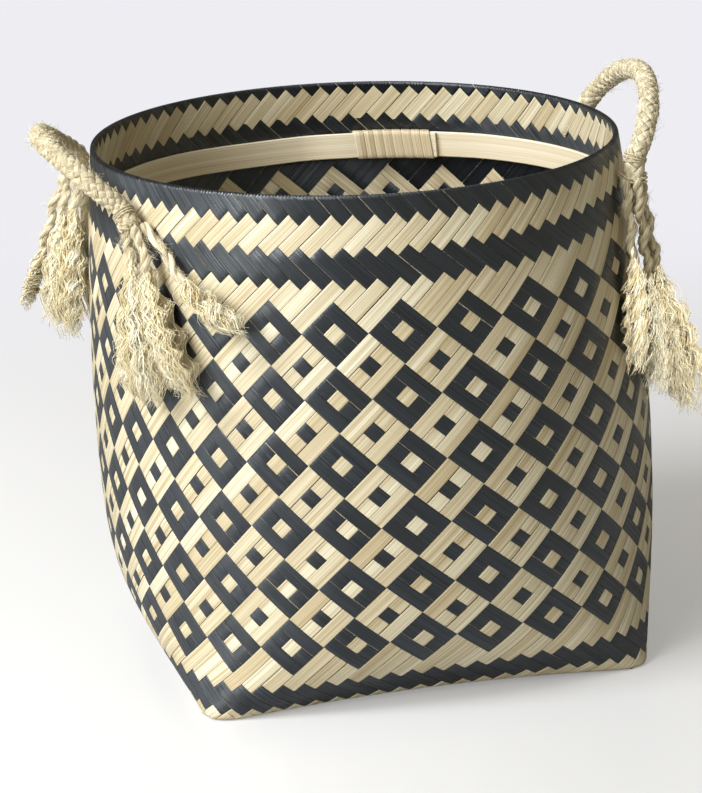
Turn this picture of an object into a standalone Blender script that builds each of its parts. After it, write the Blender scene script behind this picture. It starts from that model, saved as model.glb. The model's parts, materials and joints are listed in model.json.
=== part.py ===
"""Plaited bamboo basket: square base, round rim, lined edge, lapped inner hoop and two rope handles.

Lengths are metres and +Z is up. The base's sides run along X and Y, and the handles stand at -X and +X.
Places on the wall are given as a turn share, counted anticlockwise from the corner at -X -Y, and a height.
"""

import math

import bmesh
import bpy
import numpy as np
from mathutils import Matrix

MM = 0.001

# Plaited body
HEIGHT = 372.0 * MM
RIM_RADIUS = 190.0 * MM
WALL = 2.0 * MM
LINING = 1.4 * MM
LINING_DEPTH = 50.0 * MM
BASE_THICKNESS = 2.2 * MM
ARCH = 5.5 * MM
DOME = 4.0 * MM
FOLD_HEIGHT = 4.0 * MM
LEAN_X = -3.0 * MM
LEAN_Y = 3.4 * MM
RIM_TILT_X = -3.7 * MM
RIM_TILT_Y = 7.0 * MM
CENTRE_X = 10.26 * MM
CENTRE_Y = -1.43 * MM
BASE_GIRTH_SHARE = 0.048
BULGE_SHARE = 0.049
CORNER_POWER = 24.0
ROUND_POWER = 2.0
ROUNDING_SHARE = 0.10
ROUNDING_POWER = 1.16
FOOT_SHARE = 0.125
ARCH_FADE_SHARE = 0.19

# Gap between pieces that touch
GAP = 0.3 * MM

# Inner hoop, and the splint wound round its lap
HOOP_DROP = 34.0 * MM
HOOP_WIDTH = 15.5 * MM
HOOP_THICKNESS = 3.0 * MM
LAP_ANGLE = math.radians(80.0)
LAP_LENGTH = 70.0 * MM
LAP_RAMP = 45.0 * MM
BINDING_DIAMETER = 1.8 * MM
BINDING_LENGTH = 56.0 * MM
BINDING_MARGIN = 4.0 * MM
BINDING_TURNS = 10

# Rope handles, each turning on a line through the tops of its two roots
ROPE_DIAMETER = 17.0 * MM
LEFT_OFFSET = 79.0 * MM
RIGHT_OFFSET = 82.5 * MM
LEFT_DROP = 17.0 * MM
RIGHT_DROP = 12.0 * MM
LEFT_RISE = 54.5 * MM
RIGHT_RISE = 52.5 * MM
LEFT_TILT = math.radians(49.0)
RIGHT_TILT = math.radians(30.0)

# Rope ends below the roots, their whippings and the lashings through the wall
END_DIAMETER = 16.0 * MM
END_LENGTH = 16.0 * MM
WHIPPING_DIAMETER = 1.4 * MM
WHIPPING_PITCH = 2.2 * MM
WHIPPING_TURNS = 3
LASHING_DIAMETER = 1.8 * MM
LASHING_PITCH = 2.6 * MM
LASHING_TURNS = 2

# Unravelled strands below each rope end
STRAND_DIAMETER = 6.0 * MM
STRAND_SPREAD = 3.7 * MM
STRAND_LEAD = 3.0 * MM
TASSEL_DROP = 120.0 * MM
TASSEL_WIDTH = 18.0 * MM

# Counts that set how fine the meshes are
OUTLINE_STEPS = 720
COLUMNS = 80
HOOP_COLUMNS = 88
BASE_CELLS = 16
LOOP_POINTS = 36
COIL_POINTS = 12
BINDING_CORNER_POINTS = 3
LASHING_CORNER_POINTS = 4
STRAND_POINTS = 11
TUBE_DETAIL = 3
STRAND_DETAIL = 2
THREAD_DETAIL = 1

WALL_ROW_SHARES = (0.035, 0.065, 0.10, 0.15, 0.22, 0.31, 0.42, 0.54, 0.66, 0.78, 0.89, 1.0)
LINING_ROW_SHARES = (0.0, 0.5, 1.0)
FLARE_PLACE_SHARES = (0.0, 0.3, 0.8, 0.92, 1.0)
FLARE_SIZE_SHARES = (0.0, 0.1, 1.0, 0.8, 0.1)
FAN_POWER = 0.9
LEAN_POWER = 1.5
BALL_ANGLES = tuple(math.radians(angle) for angle in (82.0, 60.0, 40.0, 20.0))

CORNER_ANGLE = math.radians(-135.0)
RIGHT_TURN_SHARE = 0.3652
LEFT_TURN_SHARE = 0.8843

# Each strand's sideways fan, drop and lean as shares of the tassel's drop, and its share of the tassel's width
TASSEL_SHARES = {
    "left_front": (
        (0.036, 0.80, 0.020, 0.72),
        (0.334, 0.79, 0.030, 1.00),
        (0.550, 0.71, 0.030, 1.00),
        (0.810, 0.42, 0.025, 1.10),
    ),
    "left_back": (
        (-0.17, 0.81, 0.020, 0.67),
        (-0.04, 0.65, 0.310, 0.78),
        (0.110, 0.67, 0.164, 0.83),
        (0.230, 0.74, 0.061, 0.89),
    ),
    "right_front": (
        (-0.30, 0.85, 0.020, 0.78),
        (-0.06, 1.08, 0.020, 1.00),
        (0.110, 1.22, 0.170, 1.22),
        (0.250, 1.16, 0.055, 0.95),
    ),
    "right_back": (
        (-0.18, 0.80, 0.020, 0.78),
        (-0.02, 0.90, 0.020, 0.89),
        (0.110, 0.87, 0.170, 0.89),
        (0.250, 0.77, 0.050, 0.78),
    ),
}
STRAND_TOP_SHARES = ((-1.0, -1.0), (1.0, -1.0), (1.0, 1.0), (-1.0, 1.0))

BAMBOO = (0.72, 0.55, 0.31)
DARK_BAMBOO = (0.10, 0.09, 0.08)
HOOP_BAMBOO = (0.78, 0.63, 0.39)
JUTE = (0.70, 0.60, 0.42)
TWINE = (0.76, 0.67, 0.48)
SPLIT_CANE = (0.82, 0.70, 0.46)


def clear_scene():
    for obj in list(bpy.data.objects):
        bpy.data.objects.remove(obj, do_unlink=True)


def new_collection(name):
    collection = bpy.data.collections.new(name)
    bpy.context.scene.collection.children.link(collection)
    return collection


def material(name, color, roughness):
    made = bpy.data.materials.new(name)
    made.use_nodes = True
    shader = made.node_tree.nodes["Principled BSDF"]
    shader.inputs["Base Color"].default_value = (*color, 1.0)
    shader.inputs["Roughness"].default_value = roughness
    shader.inputs["Metallic"].default_value = 0.0
    made.diffuse_color = (*color, 1.0)
    return made


def add_object(name, data, collection, finish):
    obj = bpy.data.objects.new(name, data)
    obj.data.materials.append(finish)
    collection.objects.link(obj)
    return obj


def smooth_step(share):
    share = np.clip(share, 0.0, 1.0)
    return share * share * (3 - 2 * share)


def corner_power(share):
    """Power of the plan's superellipse at a share of the height: nearly square below, a circle at the rim."""
    fade = math.exp(-((share / ROUNDING_SHARE) ** ROUNDING_POWER))
    rim_fade = math.exp(-((1 / ROUNDING_SHARE) ** ROUNDING_POWER))
    squareness = (fade - rim_fade) / (1 - rim_fade)
    return 1 / (1 / ROUND_POWER + (1 / CORNER_POWER - 1 / ROUND_POWER) * squareness)


def girth(share):
    """Length round the wall's outside at a share of the height."""
    swelling = BASE_GIRTH_SHARE * (1 - share) + BULGE_SHARE * 4 * share * (1 - share)
    return 2 * math.pi * RIM_RADIUS * (1 + swelling)


def outline(share):
    """Turn shares and plan points of the wall's outside at a share of the height."""
    angle = CORNER_ANGLE + np.linspace(0, 2 * math.pi, OUTLINE_STEPS + 1)
    power = corner_power(share)
    radius = (np.abs(np.cos(angle)) ** power + np.abs(np.sin(angle)) ** power) ** (-1 / power)
    points = radius[:, None] * np.stack([np.cos(angle), np.sin(angle)], axis=1)
    run = np.concatenate([[0.0], np.cumsum(np.linalg.norm(np.diff(points, axis=0), axis=1))])
    return run / run[-1], points * girth(share) / run[-1]


def on_outline(turn, turns, points):
    """Plan point at a turn share of an outline."""
    turn = np.asarray(turn) % 1.0
    return np.stack([np.interp(turn, turns, points[:, 0]), np.interp(turn, turns, points[:, 1])], axis=-1)


def foot_arch(side):
    """How much of the arch a place along one side of the base has: none at the feet, all at the middle."""
    return np.maximum(0.0, 1 - (side / (1 - FOOT_SHARE)) ** 2)


def wall_points(turn, share, outward=0.0, plan_share=None):
    """Points beside the wall's outside, a distance outward from it, at turn shares and a share of the height."""
    turn = np.asarray(turn, dtype=float)
    turns, points = outline(share if plan_share is None else plan_share)
    step = 1 / OUTLINE_STEPS
    tangent = on_outline(turn + step, turns, points) - on_outline(turn - step, turns, points)
    tangent /= np.linalg.norm(tangent, axis=-1, keepdims=True)
    normal = np.stack([tangent[..., 1], -tangent[..., 0]], axis=-1)
    plan = on_outline(turn, turns, points) + normal * np.asarray(outward)[..., None]
    around = np.arctan2(plan[..., 1], plan[..., 0])
    side = (turn * 4) % 1.0 * 2 - 1
    lift = ARCH * foot_arch(side) * math.exp(-((share / ARCH_FADE_SHARE) ** 2))
    tilt = share * (RIM_TILT_X * np.cos(around) + RIM_TILT_Y * np.sin(around))
    height = HEIGHT * share + lift + tilt
    x = CENTRE_X + plan[..., 0] + LEAN_X * share
    y = CENTRE_Y + plan[..., 1] + LEAN_Y * share
    return np.stack([x, y, height], axis=-1)


def below_rim(drop):
    """Share of the height at a distance below the rim."""
    return 1 - drop / HEIGHT


def share_at(turn, height):
    """Share of the wall's height that lies at a level height, at a turn share of its round upper part."""
    angle = CORNER_ANGLE + 2 * math.pi * turn
    return height / (HEIGHT + RIM_TILT_X * math.cos(angle) + RIM_TILT_Y * math.sin(angle))


def beside_wall(turn, drop, outward):
    """Points beside the wall, each with its own turn share, distance below the rim and distance outward."""
    turn, drop, outward = np.broadcast_arrays(turn, drop, outward)
    points = [wall_points(t, below_rim(d), o) for t, d, o in zip(turn.ravel(), drop.ravel(), outward.ravel())]
    return np.array(points).reshape(*turn.shape, 3)


def sheet(name, rows, closed, thickness, collection, finish):
    """A lofted sheet through rows of points, solidified inward, with its turning direction anticlockwise."""
    rows = np.asarray(rows)
    count = rows.shape[1]
    faces = []
    for row in range(len(rows) - 1):
        for column in range(count if closed else count - 1):
            ahead = (column + 1) % count
            low, high = row * count, (row + 1) * count
            faces.append((low + column, low + ahead, high + ahead, high + column))
    mesh = bpy.data.meshes.new(name)
    mesh.from_pydata(rows.reshape(-1, 3).tolist(), [], faces)
    mesh.update()
    obj = add_object(name, mesh, collection, finish)
    solid = obj.modifiers.new("thickness", "SOLIDIFY")
    solid.thickness = thickness
    solid.offset = -1.0
    solid.use_even_offset = True
    return obj


def tube(name, points, diameter, collection, finish, resolution, size_shares=None):
    """A curve with a round bevel and filled caps; size_shares give its diameter at each point."""
    curve = bpy.data.curves.new(name, "CURVE")
    curve.dimensions = "3D"
    curve.bevel_depth = diameter / 2
    curve.bevel_resolution = resolution
    curve.use_fill_caps = True
    spline = curve.splines.new("POLY")
    spline.points.add(len(points) - 1)
    for index, point in enumerate(points):
        spline.points[index].co = (*point, 1.0)
        if size_shares is not None:
            spline.points[index].radius = size_shares[index]
    return add_object(name, curve, collection, finish)


def least_self_gap(points, per_turn, diameter):
    """Least gap between one stretch of a wound tube and another at least half a turn on, on its points."""
    points = np.asarray(points)
    fine = np.concatenate([points[:-1] + (points[1:] - points[:-1]) * part for part in (0.0, 0.25, 0.5, 0.75)])
    place = np.concatenate([np.arange(len(points) - 1) + part for part in (0.0, 0.25, 0.5, 0.75)])
    apart = np.abs(place[:, None] - place[None, :]) > per_turn / 2
    distance = np.linalg.norm(fine[:, None, :] - fine[None, :, :], axis=-1)
    return distance[apart].min() - diameter


def report_gap(name, points, per_turn, diameter):
    print(f"{name}: least gap to itself {least_self_gap(points, per_turn, diameter) / MM:.2f} mm")


def woven_base(collection, finish):
    """Square plaited panel inside the wall's lower edge: flat at its four corners, domed between them."""
    half = outline(0.0)[1][:, 0].max() - WALL - GAP
    cage = bmesh.new()
    bmesh.ops.create_grid(cage, x_segments=BASE_CELLS, y_segments=BASE_CELLS, size=1.0)
    for vertex in cage.verts:
        x, y = vertex.co.x, vertex.co.y
        reach = max(abs(x), abs(y))
        norm = (abs(x) ** CORNER_POWER + abs(y) ** CORNER_POWER) ** (1 / CORNER_POWER) if reach else 1.0
        arch_x, arch_y = float(foot_arch(x)), float(foot_arch(y))
        lift = ARCH * (arch_x + arch_y - arch_x * arch_y) + DOME * arch_x * arch_y
        vertex.co = (CENTRE_X + half * x * reach / norm, CENTRE_Y + half * y * reach / norm, lift)
    mesh = bpy.data.meshes.new("woven_base")
    cage.to_mesh(mesh)
    cage.free()
    obj = add_object("woven_base", mesh, collection, finish)
    solid = obj.modifiers.new("thickness", "SOLIDIFY")
    solid.thickness = BASE_THICKNESS
    solid.offset = 1.0
    return obj


def woven_wall(collection, finish):
    """Loft from the nearly square base to the round rim, with a short upright fold at its foot."""
    turn = np.arange(COLUMNS) / COLUMNS
    foot = wall_points(turn, GAP / HEIGHT, plan_share=0.0)
    fold = wall_points(turn, FOLD_HEIGHT / HEIGHT, plan_share=0.0)
    rows = [foot, fold] + [wall_points(turn, share) for share in WALL_ROW_SHARES]
    return sheet("woven_wall", rows, True, WALL, collection, finish)


def rim_lining(collection, finish):
    """The splint ends turned down over the rim, as a band inside the wall."""
    turn = np.arange(COLUMNS) / COLUMNS
    low = below_rim(LINING_DEPTH)
    rows = [wall_points(turn, low + (1 - low) * share, -WALL - GAP) for share in LINING_ROW_SHARES]
    return sheet("rim_lining", rows, True, LINING, collection, finish)


def turn_at(angle):
    """Turn share of the rim at an angle from +X."""
    return (angle - CORNER_ANGLE) / (2 * math.pi)


def hoop_inset(along, round_length):
    """Distance of the hoop's outer face inside the wall, at a distance along the hoop from its hidden end."""
    seat = WALL + GAP + LINING + GAP
    lap_room = (BINDING_DIAMETER + GAP) * (1 - smooth_step((along - LAP_LENGTH) / LAP_RAMP))
    second_layer = BINDING_DIAMETER + GAP + HOOP_THICKNESS + GAP
    rise = second_layer * smooth_step((along - round_length + LAP_RAMP) / LAP_RAMP)
    return seat + lap_room + rise


def hoop_place(along, drop, inset):
    """Points of the hoop at distances along it, below the rim and inside the wall."""
    turn = turn_at(LAP_ANGLE) - np.asarray(along) / girth(below_rim(HOOP_DROP))
    return beside_wall(turn, drop, -np.asarray(inset))


def inner_hoop(collection, finish):
    """One bamboo strip bent round inside the lining, its last stretch lapped over its first."""
    round_length = girth(below_rim(HOOP_DROP))
    along = np.linspace(0, round_length + LAP_LENGTH, HOOP_COLUMNS)
    inset = hoop_inset(along, round_length)
    high = hoop_place(along, HOOP_DROP, inset)
    low = hoop_place(along, HOOP_DROP + HOOP_WIDTH, inset)
    return sheet("inner_hoop", [high, low], False, HOOP_THICKNESS, collection, finish)


def loop_outline(corners, corner_points):
    """Points round a loop of four rounded corners, anticlockwise, each given as its centre and radius."""
    points = []
    for quarter, (x, y, radius) in enumerate(corners):
        for step in range(corner_points):
            angle = (quarter + step / (corner_points - 1)) * math.pi / 2
            points.append((x + radius * math.cos(angle), y + radius * math.sin(angle)))
    return points


def wind(loop, turns):
    """The loop's points repeated for a number of turns, each with how many turns came before it."""
    count = len(loop)
    return [(*loop[step % count], step / count) for step in range(turns * count + 1)]


def hoop_binding(collection, finish):
    """A split cane wound round both layers of the hoop's lap."""
    corner = GAP + BINDING_DIAMETER / 2
    half_thick = HOOP_THICKNESS + GAP / 2
    half_wide = HOOP_WIDTH / 2
    centre = hoop_inset(0.0, girth(below_rim(HOOP_DROP))) + half_thick
    loop = loop_outline(
        (
            (half_thick, half_wide, corner),
            (-half_thick, half_wide, corner),
            (-half_thick, -half_wide, corner),
            (half_thick, -half_wide, corner),
        ),
        BINDING_CORNER_POINTS,
    )
    points = []
    for inward, down, turn in wind(loop, BINDING_TURNS):
        along = BINDING_MARGIN + BINDING_LENGTH * turn / BINDING_TURNS
        points.append(hoop_place(along, HOOP_DROP + half_wide + down, centre + inward))
    report_gap("hoop_binding", points, len(loop), BINDING_DIAMETER)
    return tube("hoop_binding", points, BINDING_DIAMETER, collection, finish, THREAD_DETAIL)


def end_standoff():
    """Distance of a rope end's axis from the wall: its radius, its whipping and the gaps."""
    return END_DIAMETER / 2 + GAP + WHIPPING_DIAMETER + GAP


def end_top():
    """Distance of a rope end's top below the hinge line, clear of the handle's ball-shaped foot."""
    return ROPE_DIAMETER / 2 + GAP


class Root:
    """Where one leg of a handle is tied: its turn share and the frame of the wall there."""

    def __init__(self, middle_turn, offset, drop):
        self.turn = middle_turn + offset / girth(below_rim(drop))
        height = wall_points(self.turn, 1.0)[2] - drop
        low = share_at(self.turn, height - end_top() - END_LENGTH)
        inner, outer = wall_points(self.turn, low), wall_points(self.turn, low, end_standoff())
        outward = (outer - inner) * (1, 1, 0)
        self.outward = outward / np.linalg.norm(outward)
        self.along = np.array([-self.outward[1], self.outward[0], 0.0])
        self.axis = np.array([outer[0], outer[1], height])

    def to_wall(self, down):
        """Distance from the rope end's axis to the wall's outside, at a distance below the hinge line."""
        wall = wall_points(self.turn, share_at(self.turn, self.axis[2] - down))
        return float((self.axis - wall) @ self.outward)

    def place(self, outward, along, down):
        """A point given from the hinge line: outward from the wall, along it anticlockwise, and down."""
        return self.axis + self.outward * outward + self.along * along - np.array([0.0, 0.0, down])


def hinge_frame(roots):
    """Middle, half span, and directions along, outward and up of the hinge line through two roots."""
    first, second = (root.axis for root in roots)
    middle = (first + second) / 2
    half_span = np.linalg.norm(second - first) / 2
    along = (second - first) / (2 * half_span)
    outward = np.array([along[1], -along[0], 0.0])
    outward /= np.linalg.norm(outward)
    if outward @ middle < 0:
        outward = -outward
    up = np.cross(along, outward)
    return middle, half_span, along, outward, up if up[2] > 0 else -up


def rope_handle(name, roots, rise_length, tilt, collection, finish):
    """Rope arch between two roots, leaning out from them by the tilt, with a ball-shaped foot on each root."""
    first, second = (root.axis for root in roots)
    middle, half_span, along, outward, up = hinge_frame(roots)
    rise = outward * math.sin(tilt) + up * math.cos(tilt)
    ball = ROPE_DIAMETER / 2
    points, sizes = [], []
    for angle in BALL_ANGLES:
        points.append(first - rise * ball * math.sin(angle))
        sizes.append(math.cos(angle))
    for angle in np.linspace(0, math.pi, LOOP_POINTS):
        points.append(middle - along * half_span * math.cos(angle) + rise * rise_length * math.sin(angle))
        sizes.append(1.0)
    for angle in reversed(BALL_ANGLES):
        points.append(second - rise * ball * math.sin(angle))
        sizes.append(math.cos(angle))
    return tube(name, points, ROPE_DIAMETER, collection, finish, TUBE_DETAIL, sizes)


def rope_end(name, root, collection, finish):
    """Short upright length of the rope below a root, under the whipping and the lashing."""
    points = [root.place(0.0, 0.0, end_top()), root.place(0.0, 0.0, end_top() + END_LENGTH)]
    return tube(name, points, END_DIAMETER, collection, finish, TUBE_DETAIL)


def whipping(name, root, collection, finish):
    """Thread wound in close turns round the lower part of a rope end."""
    radius = END_DIAMETER / 2 + GAP + WHIPPING_DIAMETER / 2
    bottom = end_top() + END_LENGTH - WHIPPING_DIAMETER / 2
    top = bottom - WHIPPING_TURNS * WHIPPING_PITCH
    points = []
    for step in range(WHIPPING_TURNS * COIL_POINTS + 1):
        turn = step / COIL_POINTS
        angle = 2 * math.pi * turn
        points.append(root.place(radius * math.cos(angle), radius * math.sin(angle), top + WHIPPING_PITCH * turn))
    report_gap(name, points, COIL_POINTS, WHIPPING_DIAMETER)
    return tube(name, points, WHIPPING_DIAMETER, collection, finish, THREAD_DETAIL)


def lashing_radius():
    """Distance of the lashing's cord from the rope end's axis."""
    return END_DIAMETER / 2 + GAP + LASHING_DIAMETER / 2


def lashing_top():
    """Distance of the lashing's first turn below the hinge line."""
    return end_top() + LASHING_DIAMETER / 2


def lashing(name, root, collection, finish):
    """Cord wound round a rope end, through the wall and the lining, and across inside."""
    round_rope = lashing_radius()
    corner = LASHING_DIAMETER
    inside = root.to_wall(lashing_top()) + WALL + GAP + LINING + 2 * GAP + LASHING_DIAMETER / 2 - corner
    across = round_rope - corner
    corners = ((0, 0, round_rope), (-inside, across, corner), (-inside, -across, corner), (0, 0, round_rope))
    loop = loop_outline(corners, LASHING_CORNER_POINTS)
    start = 2 * LASHING_CORNER_POINTS
    loop = loop[start:] + loop[:start]
    points = []
    for outward, along, turn in wind(loop, LASHING_TURNS):
        points.append(root.place(outward, along, lashing_top() + LASHING_PITCH * turn))
    report_gap(name, points, len(loop), LASHING_DIAMETER)
    return tube(name, points, LASHING_DIAMETER, collection, finish, THREAD_DETAIL)


def lashing_holes(roots, collection):
    """Cutter for the slots through the wall and the lining, two beside each rope end."""
    cage = bmesh.new()
    wide = LASHING_DIAMETER + 2 * GAP
    tall = LASHING_TURNS * LASHING_PITCH + LASHING_DIAMETER + 2 * GAP
    deep = 2 * (WALL + GAP + LINING + END_DIAMETER / 4)
    for root in roots:
        middle = root.to_wall(lashing_top()) + (WALL + GAP + LINING) / 2
        for side in (-1, 1):
            down = lashing_top() + LASHING_TURNS * LASHING_PITCH / 2
            centre = root.place(-middle, side * lashing_radius(), down)
            frame = np.eye(4)
            frame[:3, 0] = root.outward * deep
            frame[:3, 1] = root.along * wide
            frame[2, 2] = tall
            frame[:3, 3] = centre
            bmesh.ops.create_cube(cage, size=1.0, matrix=Matrix(frame.tolist()))
    mesh = bpy.data.meshes.new("lashing_holes")
    cage.to_mesh(mesh)
    cage.free()
    cutter = bpy.data.objects.new("lashing_holes", mesh)
    cutter.hide_render = True
    cutter.display_type = "WIRE"
    collection.objects.link(cutter)
    return cutter


def cut(obj, cutter):
    made = obj.modifiers.new("holes", "BOOLEAN")
    made.operation = "DIFFERENCE"
    made.solver = "EXACT"
    made.object = cutter


def strand(name, root, top_shares, shape, collection, finish):
    """One unravelled strand: thin at its rope end, fanning out along the wall and frayed wide near its tip."""
    fan, drop, lean = (TASSEL_DROP * share for share in shape[:3])
    widest = TASSEL_WIDTH * shape[3]
    start_out = end_standoff() + top_shares[0] * STRAND_SPREAD
    start_along = top_shares[1] * STRAND_SPREAD
    top = root.axis[2] - end_top() - END_LENGTH - GAP
    share = np.linspace(0, 1, STRAND_POINTS)
    diameter = STRAND_DIAMETER + (widest - STRAND_DIAMETER) * np.interp(share, FLARE_PLACE_SHARES, FLARE_SIZE_SHARES)
    along = start_along * (1 - share) ** 2 + fan * share**FAN_POWER
    outward = start_out * (1 - share) ** 2 + (widest / 2 + 2 * GAP) * (1 - (1 - share) ** 2) + lean * share**LEAN_POWER
    turn = root.turn + along / girth(top / HEIGHT)
    height = top - STRAND_LEAD - drop * share
    points = [wall_points(t, share_at(t, h), o) for t, h, o in zip(turn, height, outward)]
    points.insert(0, points[0] + (0.0, 0.0, STRAND_LEAD))
    diameter = np.insert(diameter, 0, STRAND_DIAMETER)
    return tube(name, points, STRAND_DIAMETER, collection, finish, STRAND_DETAIL, diameter / STRAND_DIAMETER)


def hinge_empty(name, roots, collection):
    """Marks a handle's hinge line: an empty midway between its roots, with its X axis along them."""
    middle, _, along, _, up = hinge_frame(roots)
    frame = np.eye(4)
    frame[:3, 0] = along
    frame[:3, 1] = np.cross(up, along)
    frame[:3, 2] = up
    frame[:3, 3] = middle
    empty = bpy.data.objects.new(name, None)
    empty.matrix_world = Matrix(frame.tolist())
    collection.objects.link(empty)
    bpy.context.view_layer.update()
    return empty


def main():
    clear_scene()
    basket = new_collection("bamboo_basket")
    cutters = new_collection("cutters")
    plait = material("plaited_bamboo", BAMBOO, 0.45)
    edge = material("dark_bamboo", DARK_BAMBOO, 0.45)
    strip = material("hoop_bamboo", HOOP_BAMBOO, 0.4)
    jute = material("jute_rope", JUTE, 0.9)
    twine = material("twine", TWINE, 0.8)
    cane = material("split_cane", SPLIT_CANE, 0.45)

    roots = {
        "left_front": Root(LEFT_TURN_SHARE, LEFT_OFFSET, LEFT_DROP),
        "left_back": Root(LEFT_TURN_SHARE, -LEFT_OFFSET, LEFT_DROP),
        "right_front": Root(RIGHT_TURN_SHARE, -RIGHT_OFFSET, RIGHT_DROP),
        "right_back": Root(RIGHT_TURN_SHARE, RIGHT_OFFSET, RIGHT_DROP),
    }
    holes = lashing_holes(roots.values(), cutters)

    woven_base(basket, plait)
    cut(woven_wall(basket, plait), holes)
    cut(rim_lining(basket, edge), holes)
    inner_hoop(basket, strip)
    hoop_binding(basket, cane)

    for side, rise, tilt in (("left", LEFT_RISE, LEFT_TILT), ("right", RIGHT_RISE, RIGHT_TILT)):
        pair = (roots[f"{side}_front"], roots[f"{side}_back"])
        handle = rope_handle(f"rope_handle_{side}", pair, rise, tilt, basket, jute)
        hinge = hinge_empty(f"hinge_{side}", pair, basket)
        handle.parent = hinge
        handle.matrix_parent_inverse = hinge.matrix_world.inverted()

    for place, root in roots.items():
        rope_end(f"rope_end_{place}", root, basket, jute)
        whipping(f"whipping_{place}", root, basket, twine)
        lashing(f"lashing_{place}", root, basket, twine)
        for number, (top_shares, shape) in enumerate(zip(STRAND_TOP_SHARES, TASSEL_SHARES[place]), 1):
            strand(f"tassel_{place}_{number}", root, top_shares, shape, basket, jute)

    for place, root in roots.items():
        print(f"root {place}: axis {np.round(root.axis, 4).tolist()}")


main()
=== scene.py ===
import json
import math

import bpy
import numpy as np
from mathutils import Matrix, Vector

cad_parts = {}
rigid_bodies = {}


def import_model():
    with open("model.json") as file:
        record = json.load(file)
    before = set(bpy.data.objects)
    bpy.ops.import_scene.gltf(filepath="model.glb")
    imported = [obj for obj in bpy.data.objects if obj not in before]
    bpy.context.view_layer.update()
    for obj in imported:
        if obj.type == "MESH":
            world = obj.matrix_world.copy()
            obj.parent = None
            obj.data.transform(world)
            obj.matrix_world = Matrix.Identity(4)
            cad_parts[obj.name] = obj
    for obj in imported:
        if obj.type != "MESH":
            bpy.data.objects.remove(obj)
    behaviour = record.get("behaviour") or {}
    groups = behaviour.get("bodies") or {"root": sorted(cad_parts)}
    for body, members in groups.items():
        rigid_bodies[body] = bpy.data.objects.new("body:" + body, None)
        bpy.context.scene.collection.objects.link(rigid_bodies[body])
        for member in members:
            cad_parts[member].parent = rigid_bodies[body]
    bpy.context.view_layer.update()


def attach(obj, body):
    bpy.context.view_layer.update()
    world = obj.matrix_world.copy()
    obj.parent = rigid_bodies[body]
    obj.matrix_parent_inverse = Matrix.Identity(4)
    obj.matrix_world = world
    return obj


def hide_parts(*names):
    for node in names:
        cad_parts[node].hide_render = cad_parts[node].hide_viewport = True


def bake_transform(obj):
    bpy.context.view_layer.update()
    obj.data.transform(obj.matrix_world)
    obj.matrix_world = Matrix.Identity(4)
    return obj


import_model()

MM = 0.001
BASKET = "basket"


# The camera
def aim_camera():
    """Makes the camera, placed and turned so that the basket stands as it does in the photograph. Its turn,
    pitch and roll give the direction it looks in and the directions across and up the picture."""
    place = np.array([-0.35617, -1.96581, 0.744705])
    turn, pitch, roll = math.radians(10.26), math.radians(14.859), math.radians(-3.392)
    forward = np.array([math.sin(turn) * math.cos(pitch), math.cos(turn) * math.cos(pitch), -math.sin(pitch)])
    right = np.array([math.cos(turn), -math.sin(turn), 0.0])
    up = np.cross(right, forward)
    across = math.cos(roll) * right + math.sin(roll) * up
    above = -math.sin(roll) * right + math.cos(roll) * up
    camera = bpy.data.objects.new("camera", bpy.data.cameras.new("camera"))
    bpy.context.scene.collection.objects.link(camera)
    columns = [across, above, -forward, place]
    camera.matrix_world = np.vstack([np.stack(columns, axis=1), [0.0, 0.0, 0.0, 1.0]]).T.tolist()
    camera.data.sensor_fit = "HORIZONTAL"
    camera.data.sensor_width = 36.0
    camera.data.lens = 144.17
    camera.data.shift_x = -0.00794
    camera.data.shift_y = -0.07205
    camera.data.clip_start, camera.data.clip_end = 0.05, 50.0
    bpy.context.scene.camera = camera


aim_camera()

# The basket's shape
HEIGHT = 372.0 * MM
RIM_RADIUS = 190.0 * MM
WALL = 2.0 * MM
LINING = 1.4 * MM
GAP = 0.3 * MM
CORNER = math.radians(-135.0)
CENTRE = (10.26 * MM, -1.43 * MM)
LEAN = (-3.0 * MM, 3.4 * MM)
RIM_TILT = (-3.7 * MM, 7.0 * MM)
ARCH = 5.5 * MM
DOME = 4.0 * MM
BASE_GIRTH_SHARE = 0.048
BULGE_SHARE = 0.049
CORNER_POWER = 24.0
ROUND_POWER = 2.0
ROUNDING_SHARE = 0.10
ROUNDING_POWER = 1.16
FOOT_SHARE = 0.125
ARCH_FADE_SHARE = 0.19
TABLE_ROWS = 208
TABLE_STEPS = 1440


def smooth(share):
    """A share eased at both ends: 3 s^2 - 2 s^3, held at nought and one outside them."""
    share = np.clip(share, 0.0, 1.0)
    return share * share * (3 - 2 * share)


def unit(vectors):
    """The vectors at length one."""
    return vectors / np.maximum(np.linalg.norm(vectors, axis=-1, keepdims=True), 1e-12)


def girth(share):
    """Length round the wall's outside at a share of the height: the rim's, and more by an even share
    towards the base and by a bow that is largest half way up."""
    bow = 4 * share * (1 - share)
    return 2 * math.pi * RIM_RADIUS * (1 + BASE_GIRTH_SHARE * (1 - share) + BULGE_SHARE * bow)


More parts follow.
